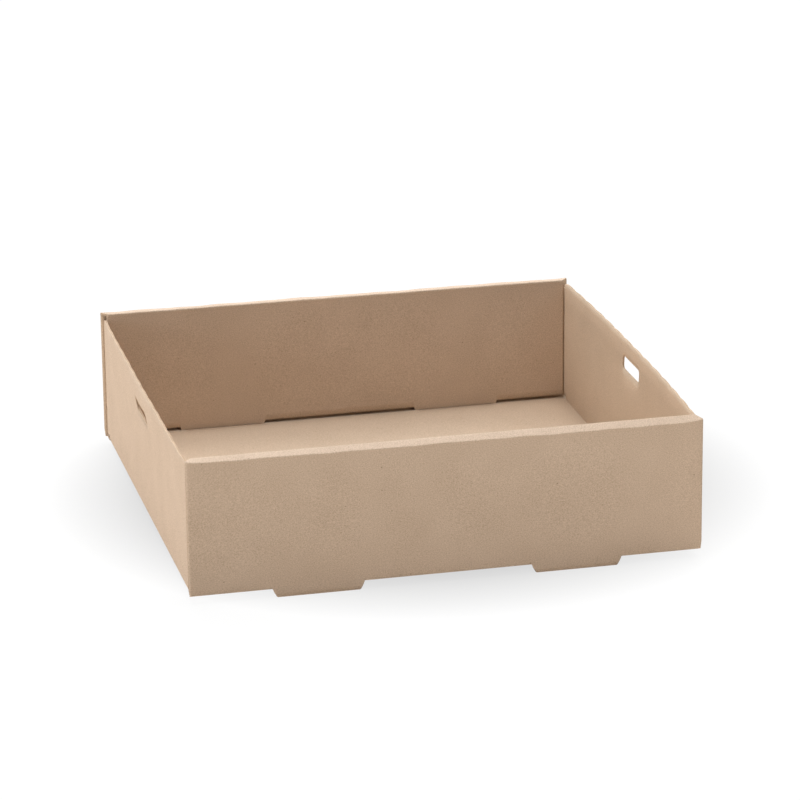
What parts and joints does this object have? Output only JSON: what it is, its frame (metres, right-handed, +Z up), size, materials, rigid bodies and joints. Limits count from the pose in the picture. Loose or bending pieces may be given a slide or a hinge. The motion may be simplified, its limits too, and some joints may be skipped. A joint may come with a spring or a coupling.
{
  "type": "cardboard tray box",
  "caption": "Open square-cornered tray box folded from one sheet of kraft corrugated board, with rolled walls front and back, hand slots in the side walls and low feet.",
  "frame": {"origin": "under the middle of the tray, on the surface that the feet stand on", "axes": "+X along the rolled walls, +Y from the front wall to the back wall, +Z up out of the open top"},
  "size_m": [0.3102, 0.295, 0.0873],
  "materials": {
    "kraft_board": "uncoated brown kraft liner, matt, with fine fibre mottling"
  },
  "bodies": {
    "root": {"tray": "kraft_board"}
  },
  "joints": []
}
